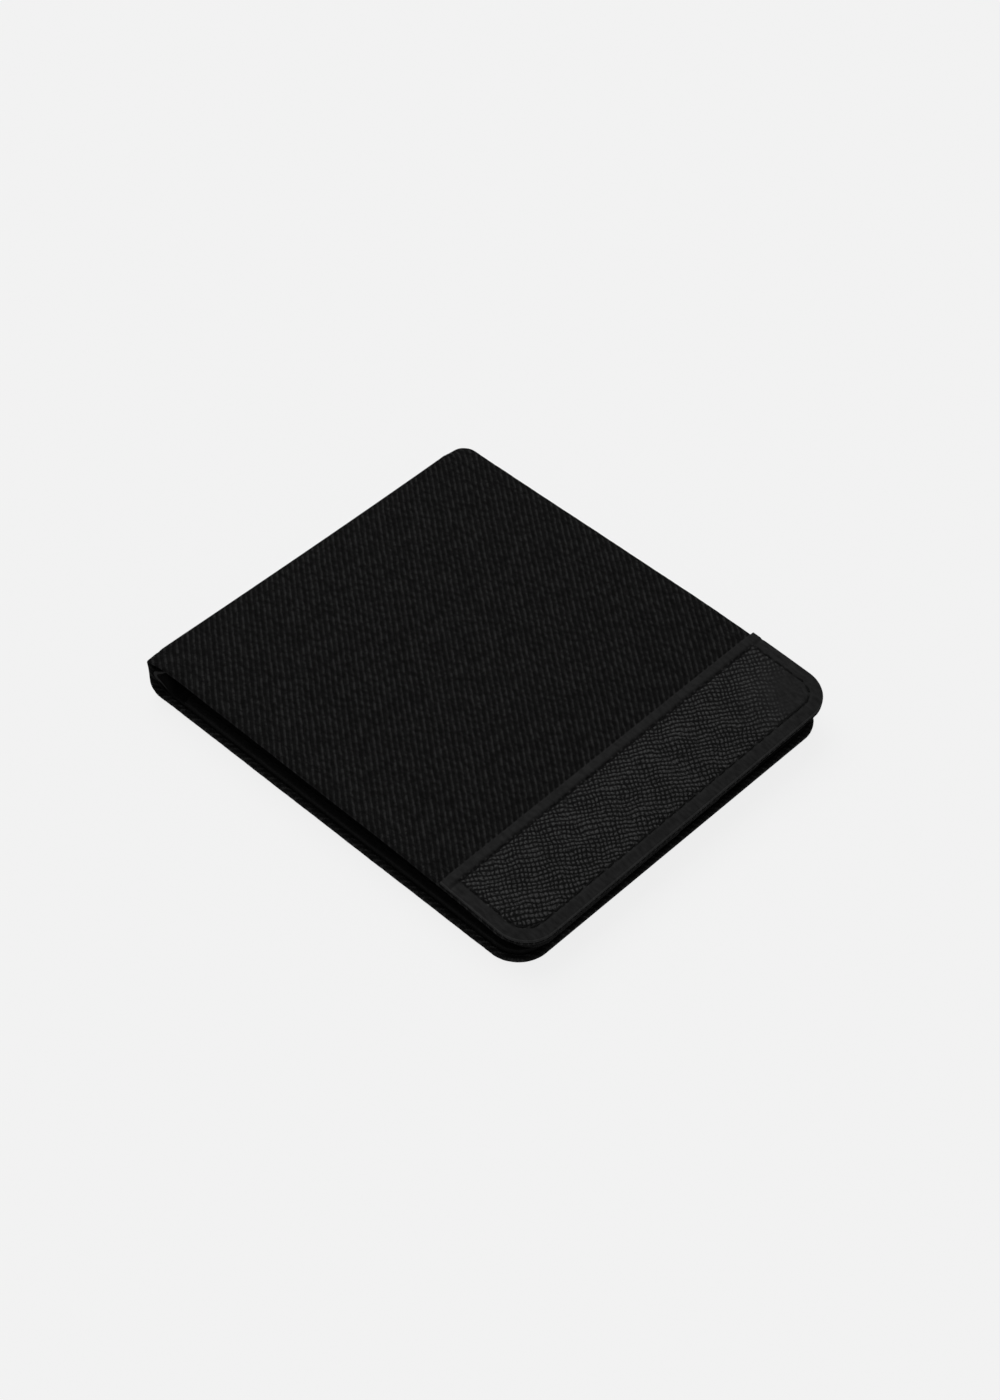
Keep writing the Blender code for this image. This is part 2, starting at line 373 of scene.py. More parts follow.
@dataclass(frozen=True)
class PocketLeather:
    """Thin leather of the pockets: small pebbles, a little rubbed along its edges."""

    dark: float = 0.0015
    pale: float = 0.03
    relief: float = 0.05 * MM

    def material(self) -> bpy.types.Material:
        """The leather's material: cells for the pebbles, with fine creases over them, and painted light on the
        ends of the note wall's loop near the fold.
        """
        graph = Graph("pocket_leather")
        values = {"Vector": graph.place(), "Scale": 1.0 / (0.85 * MM), "Randomness": 0.9}
        cells = graph.term("ShaderNodeTexVoronoi", {"feature": "F1"}, values, "Distance")
        pebbles = 1 - cells.ease(0.15, 0.75)
        creases = graph.noise(5 * MM, 6.0, (1.0, 2.5))
        rubbed = 1 - graph.measure("from_edge").ease(0.2, 1.3)
        # Painted light: the note wall's loop ends near the fold are made paler, as if lit.
        shade = pebbles * 0.07 + creases * 0.11 + rubbed * 0.07 + graph.measure("loop_light") * creases * 0.6
        return graph.dress(
            Base_Color=graph.blend(shade, (self.dark,) * 3, (self.pale,) * 3),
            Roughness=0.60 + creases * 0.12 - rubbed * 0.12,
            Specular_IOR_Level=0.09,
            Normal=graph.relief(pebbles * 0.7 + creases * 0.6, self.relief),
        )


@dataclass(frozen=True)
class LiningCloth:
    """Fine plain weave of the note compartment."""

    pitch: float = 0.30
    dark: float = 0.003
    pale: float = 0.010
    relief: float = 0.03 * MM

    def material(self) -> bpy.types.Material:
        """The lining's material: crowned yarns that pass over and under by turns."""
        graph = Graph("black_lining")
        across, along = graph.along()
        warp = across / self.pitch + (graph.noise(4 * MM) - 0.5) * 0.5
        weft = along / self.pitch + (graph.noise(5 * MM) - 0.5) * 0.5
        over = ((warp.floor() + weft.floor()) * math.pi + math.pi / 2).sine()
        warp_crown = (warp * math.pi).sine().size() * (0.5 + over * 0.5)
        weft_crown = (weft * math.pi).sine().size() * (0.5 - over * 0.5)
        height = warp_crown + weft_crown
        shade = height * 0.6 + (graph.noise(9 * MM, 4.0) - 0.5) * 0.8
        return graph.dress(
            Base_Color=graph.blend(shade, (self.dark,) * 3, (self.pale, self.pale, self.pale * 1.06)),
            Roughness=0.62 - height * 0.12,
            Specular_IOR_Level=0.15,
            Normal=graph.relief(height, self.relief),
        )


@dataclass(frozen=True)
class FibreBoard:
    """Pressed fibre board of the stiffeners."""

    relief: float = 0.03 * MM

    def material(self) -> bpy.types.Material:
        """The board's material: drawn-out fibres and darker specks."""
        graph = Graph("fibre_board")
        fibres = graph.noise(1.6 * MM, 5.0, (1.0, 6.0))
        specks = graph.noise(0.8 * MM, 1.0).ease(0.68, 0.74)
        shade = fibres * 0.9 - specks * 0.5
        return graph.dress(
            Base_Color=graph.blend(shade, (0.05, 0.045, 0.04), (0.17, 0.15, 0.125)),
            Roughness=0.88 - fibres * 0.08,
            Specular_IOR_Level=0.3,
            Normal=graph.relief(fibres, self.relief),
        )


@dataclass(frozen=True)
class SewingThread:
    """Twisted black thread. Its flat coordinates run along each stitch."""

    twist: float = 0.32
    relief: float = 0.03 * MM

    def material(self) -> bpy.types.Material:
        """The thread's material: slanting plies, the ridges a little paler."""
        graph = Graph("black_thread")
        along, round_it = graph.along()
        plies = ((along / self.twist + round_it) * math.pi).sine().size()
        shade = plies * 0.7 + graph.noise(0.5 * MM) * 0.3
        return graph.dress(
            Base_Color=graph.blend(shade, (0.0004,) * 3, (0.0045,) * 3),
            Roughness=0.62 - plies * 0.12,
            Specular_IOR_Level=0.07,
            Normal=graph.relief(plies, self.relief),
        )


@dataclass(frozen=True)
class Finishes:
    """One material of each kind, made once and shared by the pieces that use it."""

    twill: bpy.types.Material
    band: bpy.types.Material
    pocket: bpy.types.Material
    lining: bpy.types.Material
    board: bpy.types.Material
    thread: bpy.types.Material

    @classmethod
    def make(cls) -> "Finishes":
        """Makes every finish of the wallet."""
        kinds = (TwillCloth, CrosshatchLeather, PocketLeather, LiningCloth, FibreBoard, SewingThread)
        return cls(*(kind().material() for kind in kinds))


# ---------------------------------------------------------------------------------------------
# Shapes
# ---------------------------------------------------------------------------------------------


def smooth(value: Array | float) -> Array:
    """0 below 0 and 1 above 1, with 3 t^2 - 2 t^3 between them."""
    t = np.clip(value, 0.0, 1.0)
    return t * t * (3.0 - 2.0 * t)


def graded(length: float, fine: float = 0.07 * MM, coarse: float = 1.5 * MM) -> Array:
    """Places from 0 to length, close together near both ends and at the stitch lines.

    The wanted spacing is a function of the distance to the nearer end. Its reciprocal is summed
    along the length, and equal steps of that sum are the places.

    Args:
        length: The length to divide.
        fine: Spacing at the ends.
        coarse: Spacing in the middle.

    Returns:
        The places, in rising order.
    """
    fields = np.linspace(0.0, length, 4001)
    nearer = np.minimum(fields, length - fields)
    spacing = np.interp(nearer, np.array([0.0, 0.7, 4.6, 13.0]) * MM, [fine, 0.3 * MM, 0.38 * MM, coarse])
    count = np.concatenate([[0.0], np.cumsum(np.diff(fields) / spacing[1:])])
    return np.interp(np.linspace(0.0, count[-1], math.ceil(count[-1]) + 1), count, fields)


def uneven(x: Array, y: Array) -> Array:
    """A fixed, rough wave from -1 to 1: three sines of places in no simple ratio, averaged."""
    return (np.sin(x * 2900.0 + y * 700.0) + np.sin(y * 3700.0 - x * 900.0) + np.sin((x + y) * 6100.0)) / 3.0


def rounded(depth: Array, radius: float, flat: float = 0.3) -> Array:
    """Share of its full thickness that a slab has at a distance inside its edge: a quarter circle."""
    inside = np.clip(depth / radius, 0.0, 1.0)
    return flat + (1.0 - flat) * np.sqrt(1.0 - (1.0 - inside) ** 2)


@dataclass(frozen=True)
class Wallet:
    """The wallet's main sizes, read from the frame, and how the soft wallet lies.

    Attributes:
        crest_x, free_x, back_free_x: The fold's outer face, and the free edge of each cover.
        bottom_y, top_y, top_z: The other sides of the shut wallet.
        twill: Thickness of the outer cloth.
        corner, stitch_in: Radius of the covers' corners, and the stitch line's distance inside them.
        back_shift: How far the back half lies to the near side, at the fold and at the free edge.
        droop, droop_from: How far the near and the far free corner hang, and where that begins.
        near_lift, far_lift: Lift of each long edge, at the fold and at the free edge.
        crest_sag, sag_reach: Sag of the middle of the fold, and how far from the fold it dies away.
        swell, swell_x, swell_y: Height and lengths of the front cover's slight swelling.
        fold_corner, fold_flat: Radius of the fold's far corner, and how much of it is cut straight.
        ear_out, ear_down, ear_reach, ear_width: The small ear at the near end of the fold.
        back_draw, back_draw_reach: How far the back half is drawn in towards the fold.
    """

    crest_x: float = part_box("spine_twill")[0].x
    free_x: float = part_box("front_cover_twill")[1].x
    back_free_x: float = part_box("back_cover_twill")[1].x
    bottom_y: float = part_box("spine_twill")[0].y
    top_y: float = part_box("spine_twill")[1].y
    top_z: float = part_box("front_cover_twill")[1].z
    twill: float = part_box("back_cover_twill")[1].z
    corner: float = 7.6 * MM
    stitch_in: float = 3.0 * MM
    back_shift: tuple[float, float] = (1.35 * MM, 0.81 * MM)
    droop: tuple[float, float] = (2.5 * MM, 1.85 * MM)
    droop_from: float = 12.0 * MM
    near_lift: tuple[float, float] = (0.3 * MM, 0.0 * MM)
    far_lift: tuple[float, float] = (0.65 * MM, 1.05 * MM)
    crest_sag: float = 0.4 * MM
    sag_reach: float = 14.0 * MM
    swell: float = 0.09 * MM
    swell_x: float = 17.0 * MM
    swell_y: float = 21.0 * MM
    fold_corner: float = 3.6 * MM
    fold_flat: float = 0.7 * MM
    ear_out: float = 1.0 * MM
    ear_down: float = 0.1 * MM
    ear_reach: float = 7.0 * MM
    ear_width: float = 4.5 * MM
    back_draw: float = 0.15 * MM
    back_draw_reach: float = 30.0 * MM

    def free_edge(self, side: Side) -> float:
        """Where a cover ends."""
        return self.free_x if side is Side.FRONT else self.back_free_x

    def cover(self, side: Side) -> "Cut":
        """The outline of a half's cover."""
        return Cut(self.crest_x, self.free_edge(side), self.bottom_y, self.top_y, self.corner, self.corner)

    def settle(self, x: Array, y: Array, z: Array, front: Array | float) -> Array:
        """Lays a flat, square layer down as the soft wallet lies.

        The front cover is lifted by an amount that goes linearly along both long edges and
        between them, and droops past its middle with the square of the distance, more at the near
        corner. It sags along the middle of the fold, and swells and dips a little as a product of
        sines. The far end of the fold is drawn in along it, which rounds the corner as a quarter
        circle, and the near end is drawn out to a small ear. The back half lies a little to the
        near side, more at the fold.

        Args:
            x: Places across.
            y: Places along the fold.
            z: Heights.
            front: 1 on the front half and 0 on the back half, between them on the spine.

        Returns:
            The points, with x, y and z last.
        """
        far = (y - self.bottom_y) / (self.top_y - self.bottom_y)
        from_crest = np.clip(x - self.crest_x, 0.0, None)
        out = np.clip((x - self.droop_from) / (self.free_x - self.droop_from), 0.0, None)
        share = from_crest / (self.free_x - self.crest_x)
        near_edge = self.near_lift[0] + (self.near_lift[1] - self.near_lift[0]) * share
        far_edge = self.far_lift[0] + (self.far_lift[1] - self.far_lift[0]) * share
        lift = near_edge + (far_edge - near_edge) * far
        lift = lift - (self.droop[0] + (self.droop[1] - self.droop[0]) * far) * out**2
        lift = lift - self.crest_sag * (1.0 - (2.0 * far - 1.0) ** 2) * np.exp(-from_crest / self.sag_reach)
        lift = lift + self.swell * np.sin(x / self.swell_x + 1.0) * np.sin(y / self.swell_y + 0.4)
        radius, flat = self.fold_corner, self.fold_flat
        into_corner = np.clip(radius + flat - np.maximum(from_crest, flat), 0.0, radius)
        rounding = radius - np.sqrt(radius**2 - into_corner**2)
        rounding = rounding * smooth(1.0 + (y - self.top_y) / (2.4 * radius))
        ear = smooth((self.bottom_y + self.ear_reach - y) / self.ear_reach) * front
        ear = ear * np.exp(-((from_crest / self.ear_width) ** 2))
        drawn = self.back_draw * (1.0 - front) * smooth(from_crest / self.back_draw_reach)
        back_shift = self.back_shift[0] + (self.back_shift[1] - self.back_shift[0]) * share
        shift = back_shift * (1.0 - front) + self.ear_out * ear
        moved = (x - drawn, y - rounding - shift, z + front * lift - self.ear_down * ear)
        return np.stack(np.broadcast_arrays(*moved), axis=-1)


@dataclass(frozen=True)
class Run:
    """The outer face of one half in side view, from its start to the free edge.

    Attributes:
        x, z: Places of the face.
        out_x, out_z: Its outward direction.
        along: Flat distance, which the cloth's pattern follows.
        front: How much each place belongs to the front half.
    """

    x: Array
    z: Array
    out_x: Array
    out_z: Array
    along: Array
    front: Array


@dataclass(frozen=True)
class Fold:
    """A layer's way round the spine: straight, a bend, a leaning wall, a bend, straight.

    Distances are counted from the middle of the wall, down to the back half or up to the front.
    """

    crest_x: float
    bottom_z: float
    top_z: float
    lower_bend: float
    upper_bend: float
    lean: float = 0.0

    def bend(self, side: Side) -> tuple[float, float, float, float, float]:
        """Start of the wall, its straight length, the bend's radius and its angle on one side."""
        middle = (self.bottom_z + self.top_z) / 2.0
        sine, cosine = math.sin(self.lean), math.cos(self.lean)
        upper = (self.top_z - middle - self.upper_bend * (1.0 + sine)) / cosine
        lower = (middle - self.bottom_z - self.lower_bend * (1.0 - sine)) / cosine
        wall_x = self.crest_x + upper * sine + self.upper_bend * (1.0 - cosine)
        if side is Side.FRONT:
            return wall_x, middle, upper, self.upper_bend, math.pi / 2.0 + self.lean
        return wall_x, middle, lower, self.lower_bend, math.pi / 2.0 - self.lean

    def length(self, side: Side, end_x: float) -> float:
        """Distance from the middle of the wall to where the layer reaches end_x."""
        _, _, straight, radius, angle = self.bend(side)
        bent = straight + radius * angle
        return bent + end_x - float(self.run(side, np.array([bent])).x[0])

    def run(self, side: Side, distance: Array) -> Run:
        """The layer's face at distances from the middle of the wall.

        The heading h turns from the wall's to level at a steady rate through the bend. The place
        is the wall's straight part along the first heading, then the integral of (cos h, sin h)
        round the arc, then the level part along +X.

        Args:
            side: Which way from the middle.
            distance: Distances, in rising order.

        Returns:
            The face.
        """
        wall_x, wall_z, straight, radius, angle = self.bend(side)
        turned = np.clip((distance - straight) / radius, 0.0, angle)
        rest = np.clip(distance - straight - radius * angle, 0.0, None)
        before = np.minimum(distance, straight)
        first = angle if side is Side.FRONT else -angle
        heading = first - math.copysign(1.0, first) * turned
        spin = math.copysign(radius, first)
        x = wall_x + before * math.cos(first) + spin * (math.sin(first) - np.sin(heading)) + rest
        z = wall_z + before * math.sin(first) + spin * (np.cos(heading) - math.cos(first))
        hand = math.copysign(1.0, first)
        front = smooth((z - 0.28 * self.top_z) / (0.45 * self.top_z))
        sign = 1.0 if side is Side.FRONT else -1.0
        return Run(x, z, -hand * np.sin(heading), hand * np.cos(heading), sign * distance, front)


def level_run(wallet: Wallet, side: Side, x: Array) -> Run:
    """The outer face of a half at places x beyond the fold, where it is level."""
    ones = np.ones_like(x)
    if side is Side.FRONT:
        return Run(x, wallet.top_z * ones, 0.0 * ones, ones, x, ones)
    return Run(x, 0.0 * ones, 0.0 * ones, -ones, x, 0.0 * ones)


@dataclass(frozen=True)
class Cut:
    """The outline a layer is cut to: square at the fold, rounded where both its other edges meet.

    Attributes:
        bottom_y, top_y: Its long edges.
        free_x: Its free edge.
        corner, top_corner: Radii of its corners at the free edge.
        mouth_sag: How far the middle of its top edge hangs down.
    """

    start_x: float
    free_x: float
    bottom_y: float
    top_y: float
    corner: float
    top_corner: float
    mouth_sag: float = 0.0

    def trim(self, x: Array, radius: float) -> Array:
        """How far a corner's arc takes an edge in at x: r - sqrt(r^2 - past^2)."""
        past = np.clip(x - (self.free_x - radius), 0.0, radius)
        return radius - np.sqrt(radius**2 - past**2)

    def rows(self, x: Array, spread: Array) -> Array:
        """Places along y for each x: the spread of 0 to 1 between the trimmed edges."""
        low = self.bottom_y + self.trim(x, self.corner)
        share = np.clip((x - self.start_x) / (self.free_x - self.start_x), 0.0, 1.0)
        high = self.top_y - self.trim(x, self.top_corner) - self.mouth_sag * np.sin(math.pi * share)
        return low[:, None] + (high - low)[:, None] * spread[None, :]

    def spread(self, fine: float = 0.07 * MM, coarse: float = 1.5 * MM) -> Array:
        """Shares of its height from 0 to 1, closest together near both ends."""
        height = self.top_y - self.bottom_y
        return graded(height, fine, coarse) / height

    def inside(self, x: Array, y: Array, radius: float, low: bool = True, high: bool = True) -> Array:
        """Distance inside the free edge and, where wanted, the bottom and top edges.

        It is the signed distance of a box with rounded corners, turned positive inside.
        """
        far = 1.0
        bottom = self.bottom_y if low else -far
        top = self.top_y if high else far
        reach_x = x - (self.free_x - radius)
        reach_y = np.abs(y - (bottom + top) / 2.0) - ((top - bottom) / 2.0 - radius)
        outside = np.hypot(np.clip(reach_x, 0.0, None), np.clip(reach_y, 0.0, None))
        return radius - outside - np.minimum(np.maximum(reach_x, reach_y), 0.0)


def mesh_piece(
    name: str, points: Array, faces: Array, flat: Array, material: bpy.types.Material
) -> bpy.types.Object:
    """A smooth-shaded object from arrays.

    Args:
        name: The piece's name.
        points: Its points, n by 3.
        faces: Its four-sided faces, as indices.
        flat: Flat coordinates of each point, n by 2.
        material: Its finish.

    Returns:
        The object, at the origin.
    """
    mesh = bpy.data.meshes.new(name)
    mesh.from_pydata(points.reshape(-1, 3), [], faces.reshape(-1, 4).tolist())
    layer = mesh.uv_layers.new(name="flat")
    layer.data.foreach_set("uv", flat.reshape(-1, 2)[faces.ravel()].astype(np.float32).ravel())
    mesh.shade_smooth()
    mesh.set_sharp_from_angle(angle=math.radians(58))
    mesh.materials.append(material)
    piece = bpy.data.objects.new(name, mesh)
    bpy.context.scene.collection.objects.link(piece)
    return piece


def grid_faces(rows: int, columns: int) -> Array:
    """The quads of a grid of points, wound so that their normal is rows cross columns."""
    index = np.arange(rows * columns).reshape(rows, columns)
    return np.stack([index[:-1, :-1], index[1:, :-1], index[1:, 1:], index[:-1, 1:]], axis=-1).reshape(-1, 4)


def slab(
    name: str, outer: Array, inner: Array, flat: Array, edge: Array, material: bpy.types.Material
) -> bpy.types.Object:
    """A closed sheet between two grids of points, with a narrow wall round its border.

    Args:
        name: The piece's name.
        outer, inner: The two faces, rows by columns by 3.
        flat: Flat coordinates, rows by columns by 2.
        edge: Distance from the edge in metres, kept on the mesh in millimetres for the finish.
        material: Its finish.

    Returns:
        The object.
    """
    rows, columns = outer.shape[:2]
    count = rows * columns
    face = grid_faces(rows, columns)
    index = np.arange(count).reshape(rows, columns)
    loop = np.concatenate([index[:, 0], index[-1, 1:], index[-2::-1, -1], index[0, -2:0:-1]])
    after = np.roll(loop, -1)
    wall = np.stack([loop, loop + count, after + count, after], axis=-1)
    faces = np.concatenate([face, face[:, ::-1] + count, wall])
    step_in = outer[rows // 2, columns // 2] - inner[rows // 2, columns // 2]
    down = outer[rows // 2 + 1, columns // 2] - outer[rows // 2, columns // 2]
    over = outer[rows // 2, columns // 2 + 1] - outer[rows // 2, columns // 2]
    if float(np.dot(np.cross(down, over), step_in)) < 0.0:
        faces = faces[:, ::-1]
    points = np.concatenate([outer.reshape(-1, 3), inner.reshape(-1, 3)])
    piece = mesh_piece(name, points, faces, np.concatenate([flat.reshape(-1, 2)] * 2), material)
    carry(piece, "from_edge", edge / MM)
    return piece


def carry(piece: bpy.types.Object, name: str, values: Array) -> None:
    """Keeps a number on both faces of a slab, point by point, for its finish."""
    attribute = piece.data.attributes.new(name, "FLOAT", "POINT")
    attribute.data.foreach_set("value", np.tile(values.ravel(), 2).astype(np.float32))


def layer_slab(
    name: str,
    wallet: Wallet,
    run: Run,
    y: Array,
    near: Array,
    far: Array,
    edge: Array,
    material: bpy.types.Material,
) -> bpy.types.Object:
    """A layer between two depths under a half's outer face.

    Args:
        name: The piece's name.
        wallet: The wallet it belongs to.
        run: The half's outer face.
        y: Places along y, one row for each place of the run.
        near, far: Depth of the layer's two faces under the outer face.
        edge: Distance from the edge.
        material: Its finish.

    Returns:
        The object.
    """
    x, z, out_x, out_z, front = (a[:, None] for a in (run.x, run.z, run.out_x, run.out_z, run.front))
    outer = wallet.settle(x - out_x * near, y, z - out_z * near, front)
    inner = wallet.settle(x - out_x * far, y, z - out_z * far, front)
    along = np.broadcast_to(run.along[:, None], y.shape)
    return slab(name, outer, inner, np.stack([along, y], axis=-1), edge, material)


# ---------------------------------------------------------------------------------------------
# Depths at which the layers lie
# ---------------------------------------------------------------------------------------------


@dataclass(frozen=True)
class Depths:
    """How deep each layer lies: together at a sewn rim, and at the frame's depth in the open field.

    Attributes:
        rim_gap, rim_slack, touch: Room between layers at the rim, over all of them, and where they touch.
        pinch_reach, free_reach, side_reach: How far from a sewn edge the layers have come apart: at
            most edges, near the free edge, and past the fold.
        turn_over: Width over which the first of these passes into the second.
        inset, front_inset: How far inside a cover its layers end.
        rim_press, rim_press_reach: How much a cover's rim is pressed in.
        stitch_dent, stitch_dent_width: The dent along a row of stitches.
        board_gap, board_step: The board's depth under the twill, and the width of the step round it.
        bare_gap, covered_gap: The lining's room over the twill and over the board.
        order: The layers, from the outside in.
    """

    wallet: Wallet
    rim_gap: float = 0.035 * MM
    pinch_reach: float = 9.0 * MM
    free_reach: float = 21.0 * MM
    side_reach: float = 7.0 * MM
    turn_over: float = 16.0 * MM
    inset: float = 1.45 * MM
    front_inset: float = 0.4 * MM
    rim_press: float = 0.30 * MM
    rim_press_reach: float = 4.0 * MM
    stitch_dent: float = 0.10 * MM
    stitch_dent_width: float = 0.45 * MM
    board_gap: float = 0.15 * MM
    board_step: float = 0.8 * MM
    bare_gap: float = 0.1 * MM
    covered_gap: float = 0.03 * MM
    rim_slack: float = 0.12 * MM
    touch: float = 0.02 * MM
    order: tuple[str, ...] = (
        "cover_lining", "note_wall", "slip_panel", "card_slot_top", "card_slot_middle", "card_slot_bottom"
    )

    def field(self, side: Side, name: str) -> tuple[float, float]:
        """A layer's depth in the open field and its thickness, from its node."""
        low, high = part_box(f"{side.value}_{name}")
        near = low.z if side is Side.BACK else self.wallet.top_z - high.z
        return near, high.z - low.z

    def at_rim(self, side: Side, name: str) -> float:
        """A layer's depth where all are pressed together."""
        depth = self.wallet.twill + self.rim_gap
        for other in self.order[: self.order.index(name)]:
            depth += self.field(side, other)[1] + self.rim_gap
        return depth

    def outline(self, side: Side, start_x: float, top_y: float, top_corner: float, sag: float = 0.0) -> Cut:
        """The outline of an inner layer, inside the cover's turned edge.

        Args:
            side: The layer's half.
            start_x: Where it starts at the fold.
            top_y: Its mouth.
            top_corner: Radius at the end of its mouth.
            sag: How far the middle of its mouth hangs.

        Returns:
            The outline.
        """
        end_x = self.wallet.free_edge(side) - (self.front_inset if side is Side.FRONT else self.inset)
        corner = self.wallet.corner - self.inset
        return Cut(start_x, end_x, self.wallet.bottom_y + self.inset, top_y, corner, top_corner, sag)

    def held(self, side: Side, x: Array, y: Array, start_x: float | None = None) -> Array:
        """How far a place is from the sewn edges, as a share of the reach over which layers part.

        The reach is longer towards the free edge. A layer that starts past the fold is sewn
        along that side too.

        Args:
            side: The layer's half.
            x: Places across.
            y: Places along the fold.
            start_x: Where the layer starts, or None if it goes round the fold.

        Returns:
            0 at a sewn edge and 1 or more where the layers lie free.
        """
        w = self.wallet
        edge = w.cover(side).inside(x, y, w.corner, high=False)
        nearer_free = smooth(0.5 + ((y - w.bottom_y) - (w.free_edge(side) - x)) / self.turn_over)
        share = edge / (self.pinch_reach + (self.free_reach - self.pinch_reach) * nearer_free)
        if start_x is not None:
            share = np.minimum(share, (x - start_x) / self.side_reach)
        return share

    def face(self, edge: Array) -> Array:
        """Depth of the cover's own outer face: pressed in at the rim and dented along its stitches."""
        press = self.rim_press * (1.0 - smooth(edge / self.rim_press_reach))
        dent = self.stitch_dent * np.exp(-(((edge - self.wallet.stitch_in) / self.stitch_dent_width) ** 2))
        return press + dent

    def board(self, side: Side) -> tuple[float, float]:
        """The board's depth, against the twill and its hem, and its thickness."""
        return self.wallet.twill + self.board_gap, self.field(side, "stiffener_board")[1]

    def lies(self, side: Side, name: str, x: Array, y: Array, top_y: float | None = None) -> Array:
        """Depth of a layer's outer side.

        It is the layer's rim depth where the layers are held together and its field depth where
        they lie free, but never less than the inner side of what lies under it: the board, then
        each layer in turn.

        Args:
            side: The layer's half.
            name: The layer.
            x: Places across.
            y: Places along the fold.
            top_y: For the lining, its far edge, where it is sewn down as well.

        Returns:
            The depths.
        """
        low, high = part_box(f"{side.value}_stiffener_board")
        near, thick = self.board(side)
        within = np.minimum(np.minimum(x - low.x, high.x - x), np.minimum(y - low.y, high.y - y))
        covered = smooth(1.0 + within / self.board_step)
        bare = self.wallet.twill + self.bare_gap
        under = bare + (near + thick + self.covered_gap - bare) * covered
        free = self.held(side, x, y)
        if top_y is not None:
            free = np.minimum(free, (top_y - y) / self.pinch_reach)
        sewn = self.held(side, x, y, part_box(f"{side.value}_slip_panel")[0].x)
        depth = under
        for other in self.order[: self.order.index(name) + 1]:
            full, thick = self.field(side, other)
            rim = self.at_rim(side, other) + self.rim_slack
            share = smooth(free if other in self.order[:2] else sewn)
            depth = np.maximum(rim + (full - rim) * share, under)
            under = depth + thick + self.touch
        return depth


# ---------------------------------------------------------------------------------------------
# The wallet's pieces
# ---------------------------------------------------------------------------------------------


def report(piece: bpy.types.Object, what: str) -> bpy.types.Object:
    """Logs a finished piece and gives it back."""
    LOG.info("%s: %s, %d faces", piece.name, what, len(piece.data.polygons))
    return piece


@dataclass
class OuterShell:
    """The twill that wraps the whole wallet. It is two pieces that meet halfway up the spine."""

    wallet: Wallet
    depths: Depths
    material: bpy.types.Material
    lower_bend: float = 3.3 * MM
    upper_bend: float = 1.25 * MM
    lean: float = math.radians(8.0)
    hem: float = 0.12 * MM
    hem_width: float = 4.6 * MM
    hem_step: float = 0.8 * MM
    rim: float = 0.5 * MM
    turned_edge: float = 0.62 * MM
    turned_width: float = 1.1 * MM
    turned_step: float = 0.5 * MM
    turned_from: float = 4.0 * MM
    turned_to: float = 9.0 * MM
    ragged: float = 0.05 * MM
    bend_margin: float = 0.6 * MM

    def fold(self) -> Fold:
        """The shell's way round the spine."""
        w = self.wallet
        return Fold(w.crest_x, 0.0, w.top_z, self.lower_bend, self.upper_bend, self.lean)

    def distances(self, side: Side) -> Array:
        """Places along a half: fine round the bend and at the free edge, wide between them."""
        fold = self.fold()
        _, _, straight, radius, angle = fold.bend(side)
        bent = straight + radius * angle
        wall = np.linspace(0.0, straight, 5)[:-1]
        bend = straight + np.linspace(0.0, radius * angle, 15)[:-1]
        level = bent + graded(fold.length(side, self.wallet.free_edge(side)) - bent, 0.1 * MM, 1.0 * MM)
        return np.concatenate([wall, bend, level])

    def build(self, side: Side) -> bpy.types.Object:
        """Makes one half of the shell, with its rim rounded and its hems turned under."""
        w, cut = self.wallet, self.wallet.cover(side)
        run = self.fold().run(side, self.distances(side))
        y = cut.rows(run.x, cut.spread(coarse=1.0 * MM))
        x = run.x[:, None]
        edge = cut.inside(x, y, w.corner)
        near = self.depths.face(edge)
        hem = self.hem * (1.0 - smooth((edge - self.hem_width) / self.hem_step))
        under = self.turned_edge * (1.0 - smooth((edge - self.turned_width) / self.turned_step))
        if side is Side.FRONT:
            under = under * (1.0 - smooth((x - w.free_x + self.turned_to) / (5.0 * MM)))
        under = under * smooth((x - w.crest_x - self.turned_from) / (3.0 * MM))
        flat_inside = w.twill + hem + under - near * 0.6
        thick = flat_inside * rounded(edge, self.rim)
        middle = near + flat_inside / 2.0
        y = y + self.ragged * (1.0 - smooth(edge / self.rim)) * uneven(x, y)
        piece = layer_slab(
            f"{side.value}_shell", w, run, y, middle - thick / 2.0, middle + thick / 2.0, edge, self.material
        )
        bend_between(piece, self.fold(), side, self.bend_margin)
        nodes = ("back_cover_twill",) if side is Side.BACK else ("front_cover_twill", "spine_twill")
        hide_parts(*nodes)
        length = float(run.along[-1] - run.along[0])
        w.top_y - w.bottom_y
        return report(piece, "twill shell")


def bend_between(piece: bpy.types.Object, fold: Fold, side: Side, margin: float) -> None:
    """Bakes a piece's placement into its mesh. The ends of its bend are worked out but not used.

    Args:
        piece: The finished piece.
        fold: Its way round the spine.
        side: Its half.
        margin: How far past the bend those ends are taken, each way.
    """
    _, _, straight, radius, angle = fold.bend(side)
    ends = np.array([max(straight - margin, 0.0), straight + radius * angle + margin])
    run = fold.run(side, ends)
    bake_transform(piece)


